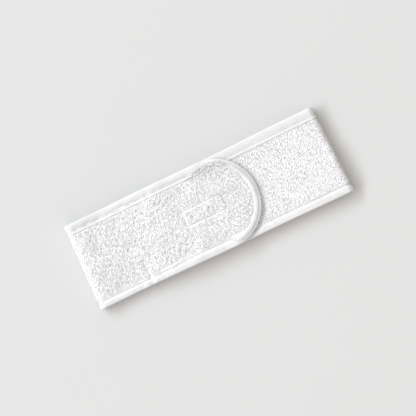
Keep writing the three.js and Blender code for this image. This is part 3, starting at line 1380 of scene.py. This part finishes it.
@dataclass
class Band:
    """The whole band: the back layer, the outer end in four sections and the under end in two."""

    layout: Layout
    finishes: Finishes
    bend: float = 6 * MM
    corner: float = 16 * MM

    def build(self) -> None:
        """Builds every section and patch in order."""
        lay = self.layout
        outer = Run(lay, lay.outer_mid, -1, lay.left_turn, lay.tip, lay.half_width)
        self.build_back()
        self.build_outer_end(outer)
        self.build_closure(outer)
        self.build_under_end()

    @staticmethod
    def pair(
        run: Run, part: str, ends: Span, upper: tuple[Tape, Tape], lower: tuple[Tape, Tape]
    ) -> tuple[Binding, ...]:
        """The two bindings of a length of the strip.

        Args:
            run: the run that it lies on.
            part: what the names of the frame's nodes start with.
            ends: its ends along the edge.
            upper: the upper tape at the start and at the end.
            lower: the lower tape at the start and at the end.

        Returns:
            The upper and the lower binding.
        """
        made = []
        for edge, tapes in ((Edge.UPPER, upper), (Edge.LOWER, lower)):
            label = edge.name.lower()
            nodes = (f"{part}_binding_{label}",), (f"{part}_seam_{label}",)
            made.append(Binding(label, run, edge, ends, *tapes, *nodes))
        return tuple(made)

    def build_back(self) -> None:
        """Builds the back layer."""
        lay = self.layout
        back, span = Run(lay, lay.back_mid), (lay.left_turn, lay.right_turn)
        tapes = (UPPER_TAPE, UPPER_TAPE), (LOWER_TAPE, LOWER_TAPE)
        Section(
            self.finishes, back, "back_run", Ride("back_layer"), span,
            self.pair(back, "back", span, *tapes), ("back_terry",),
            seed=100, inset=long_inset, low_pile=(Face.OUTER,),
        ).build()

    def fold_ride(self, run: Run, body: str, before: float, after: float) -> Ride:
        """The ride of a fold from the back layer to the body that it carries, with where its bend would start
        and end; the bend itself is not made.

        Args:
            run: the run round the fold.
            body: the body that it carries.
            before: how far below the fold's middle the bend starts.
            after: how far above it the bend ends.

        Returns:
            The ride.
        """
        middle = (run.level + self.layout.back_mid) / 2
        return Ride("back_layer", body, (0, 0, middle - before), (0, 0, middle + after))

    def bend_ride(self, body: str, onto: str, line: float) -> Ride:
        """The ride of a section from one body to the next, with its bend just past a line across the band;
        the bend itself is not made.
        """
        return Ride(body, onto, (line - 0.5 * MM, 0, 0), (line + self.bend, 0, 0))

    def build_outer_end(self, outer: Run) -> None:
        """Builds the left fold and the outer end's first length.

        Args:
            outer: the outer end's run.
        """
        peel, inset = outer.s_of(self.layout.peel) - self.bend, flap_inset(outer)
        fold, flat = (0, outer.arc), (outer.arc, peel)
        upper, narrow = (UPPER_TAPE, UPPER_TAPE), (NARROW_TAPE, NARROW_TAPE)
        Section(
            self.finishes, outer, "left_fold_run",
            self.fold_ride(outer, "outer_end", 2.2 * MM, 1.4 * MM), fold,
            self.pair(outer, "left_fold", fold, upper, narrow), ("left_fold_terry",),
            seed=200, inset=inset, low_pile=(Face.INNER,), held="folded", rests_on=("back_run_ground",),
        ).build()
        Section(
            self.finishes, outer, "outer_end_run", Ride("outer_end"), flat,
            self.pair(outer, "left_front", flat, upper, (NARROW_TAPE, FLAP_TAPE)), ("left_front_terry",),
            seed=250, inset=inset, rests_on=("back_run_ground", "under_end_run_ground"),
        ).build()

    def build_closure(self, outer: Run) -> None:
        """Builds the closure's hook section with its patch, and the round finger tab.

        Args:
            outer: the outer end's run.
        """
        lay, inset = self.layout, flap_inset(outer)
        peel, curl = outer.s_of(lay.peel) - self.bend, outer.s_of(lay.curl) - self.bend
        straight = outer.s_of(lay.tip) - outer.corner
        u_curl = straight + outer.corner * math.asin((curl - straight) / (outer.corner - 5 * MM))
        u_last = 2 * straight + math.pi * outer.corner
        Section(
            self.finishes, outer, "hook_section", self.bend_ride("outer_end", "hook_section", lay.peel),
            (peel, curl),
            self.pair(outer, "closure", (peel, u_curl), (UPPER_TAPE, TIP_TAPE), (FLAP_TAPE, TIP_TAPE)),
            ("closure_terry",),
            seed=300, inset=inset, bare=pressed(outer), rests_on=("under_end_run_ground",),
        ).build()
        Patch(
            self.finishes, outer, "hook_patch", Ride("hook_section"), Face.INNER, lay.hook, lay.hook_stitch,
            True, "hook_tape", 350,
        ).build()
        ends = u_curl, u_last - u_curl
        round_end = Binding(
            "round", outer, Edge.UPPER, ends, TIP_TAPE, TIP_TAPE, ("tip_binding",), ("tip_seam",)
        )
        Section(
            self.finishes, outer, "finger_tab", self.bend_ride("hook_section", "finger_tab", lay.curl),
            (curl, outer.s_of(lay.tip)), (round_end,), ("tip_terry",),
            seed=400, inset=inset, rests_on=("under_end_run_ground",),
        ).build()

    def build_under_end(self) -> None:
        """Builds the right fold and the under end with its loop patch."""
        lay = self.layout
        under = Run(lay, lay.under_mid, 1, lay.right_turn, lay.under_tip, self.corner)
        last = under.s_of(lay.under_tip)
        around = 2 * (last - under.corner) + math.pi * under.corner + 2 * (lay.half_width - under.corner)
        fold, edge = (0, under.arc), (under.arc, around / 2)
        Section(
            self.finishes, under, "right_fold_run",
            self.fold_ride(under, "under_end", 1.5 * MM, 1.2 * MM), fold,
            self.pair(under, "right_fold", fold, (WIDE_TAPE, WIDE_TAPE), (LOWER_TAPE, LOWER_TAPE)),
            ("right_fold_terry",),
            seed=450, inset=long_inset, low_pile=(Face.INNER,), held="folded", rests_on=("back_run_ground",),
            spare=2 * MM,
        ).build()
        nodes = ("right_front_binding",), ("right_front_seam",)
        upper = Binding("upper", under, Edge.UPPER, edge, WIDE_TAPE, LOWER_TAPE, *nodes)
        lower = Binding("lower", under, Edge.LOWER, edge, LOWER_TAPE, LOWER_TAPE)
        Section(
            self.finishes, under, "under_end_run", Ride("under_end"), (under.arc, last), (upper, lower),
            ("right_front_terry",),
            seed=500, inset=long_inset, pile=SMOOTH_PILE, rests_on=("back_run_ground",),
        ).build()
        Patch(
            self.finishes, under, "loop_patch", Ride("under_end"), Face.OUTER, lay.loop, lay.loop_stitch,
            False, "loop_tape", 550,
        ).build()


def long_inset(_s: Array, v: Array) -> Array:
    """Where the pile starts beside the long tapes."""
    return np.where(v > 0, 11.9 * MM, 10.7 * MM)


def flap_inset(outer: Run) -> Pattern:
    """Where the pile starts on the outer end.

    Args:
        outer: the outer end's run.

    Returns:
        The distance from the edge: less at the tip, and where the pile spreads over the upper tape.
    """

    def inset(s: Array, v: Array) -> Array:
        """The distance from the edge at (s, v)."""
        place = outer.x_of(s)
        wide = np.where(v > 0, 11.3, 10.2 + 0.9 * ramp(-90, -50, place))
        wide = wide + (7.6 - wide) * ramp(8, 34, place)
        spread = 6.2 * ramp(-16, 12, place) * ramp(41, 28, place) * (v > 0)
        return (wide - spread) * MM

    return inset


def pressed(outer: Run) -> Pattern:
    """How far the box stitch holds the pile down.

    Args:
        outer: the outer end's run.

    Returns:
        The share: most at the stitch's left side, less at its right.
    """
    stitch = outer.layout.hook_stitch
    centre = outer.s_of((stitch[0].x + stitch[1].x) / 2), 0.0
    size = stitch[1].x - stitch[0].x, stitch[1].y - stitch[0].y

    def share(s: Array, v: Array) -> Array:
        """The share at (s, v)."""
        firm = 1 - 0.55 * smoothstep(centre[0] - 8 * MM, centre[0] + 18 * MM, s)
        return firm * smoothstep(1.5 * MM, 0.7 * MM, ring_distance(s, v, centre, size))

    return share


@dataclass(frozen=True)
class Setting:
    """The floor, the lights and the camera."""

    floor_size: float = 4.0
    camera_height: float = 1.6
    view_width: float = 0.416
    roll: float = 25.7
    sensor: float = 36.0
    key_elevation: float = 32.0
    key_azimuth: float = 145.0
    key_distance: float = 12.0
    key_size: tuple[float, float] = (19.0, 1.8)
    key_power: float = 2060.0
    key_colour: tuple[float, float, float] = (0.955, 1.0, 1.055)
    sky: float = 0.71
    sky_colour: tuple[float, float, float] = (1.035, 1.0, 0.96)

    def build(self) -> None:
        """Builds the floor, the lights and the camera."""
        self.build_floor()
        self.build_lights()
        self.build_camera()

    def build_floor(self) -> None:
        """Builds the pale floor, just under the band."""
        half = self.floor_size / 2
        work = board((2, 2), (-half, -half), (half, half))
        mesh = bpy.data.meshes.new("floor")
        work.to_mesh(mesh)
        work.free()
        mesh.materials.append(FloorFinish("floor_board", (0.623, 0.621, 0.617), 0.9, 0.0).make())
        floor = bpy.data.objects.new("floor", mesh)
        bpy.context.scene.collection.objects.link(floor)

    def build_lights(self) -> None:
        """Builds a wide, low key light on the left and an even sky."""
        scene = bpy.context.scene
        scene.view_settings.view_transform = "Standard"
        scene.view_settings.look = "None"
        world = bpy.data.worlds.new("sky")
        world.use_nodes = True
        background = world.node_tree.nodes["Background"]
        background.inputs["Color"].default_value = (*self.sky_colour, 1)
        background.inputs["Strength"].default_value = self.sky
        scene.world = world
        lamp = bpy.data.lights.new("key", "AREA")
        lamp.shape, (lamp.size, lamp.size_y) = "RECTANGLE", self.key_size
        lamp.energy, lamp.color = self.key_power, self.key_colour
        key = bpy.data.objects.new("key", lamp)
        up, way = math.radians(self.key_elevation), math.radians(self.key_azimuth)
        towards = Vector((math.cos(up) * math.cos(way), math.cos(up) * math.sin(way), math.sin(up)))
        key.location = towards * self.key_distance
        key.rotation_euler = towards.to_track_quat("Z", "Y").to_euler()
        scene.collection.objects.link(key)

    def build_camera(self) -> None:
        """Builds the camera straight above the band, turned so that the band rises to the right."""
        lens = bpy.data.cameras.new("camera")
        lens.sensor_width = self.sensor
        lens.lens = self.sensor * self.camera_height / self.view_width
        lens.clip_end = 10  # metres, well past the floor
        camera = bpy.data.objects.new("camera", lens)
        camera.location = (0, 0, self.camera_height)
        camera.rotation_euler = (0, 0, math.radians(-self.roll))
        bpy.context.scene.collection.objects.link(camera)
        bpy.context.scene.camera = camera


def main() -> None:
    """Builds the band and its setting."""
    logging.basicConfig(level=logging.INFO, format="%(message)s")
    layout = Layout.from_frame()
    Band(layout, Finishes()).build()
    Setting().build()


if __name__ == "__main__":
    main()
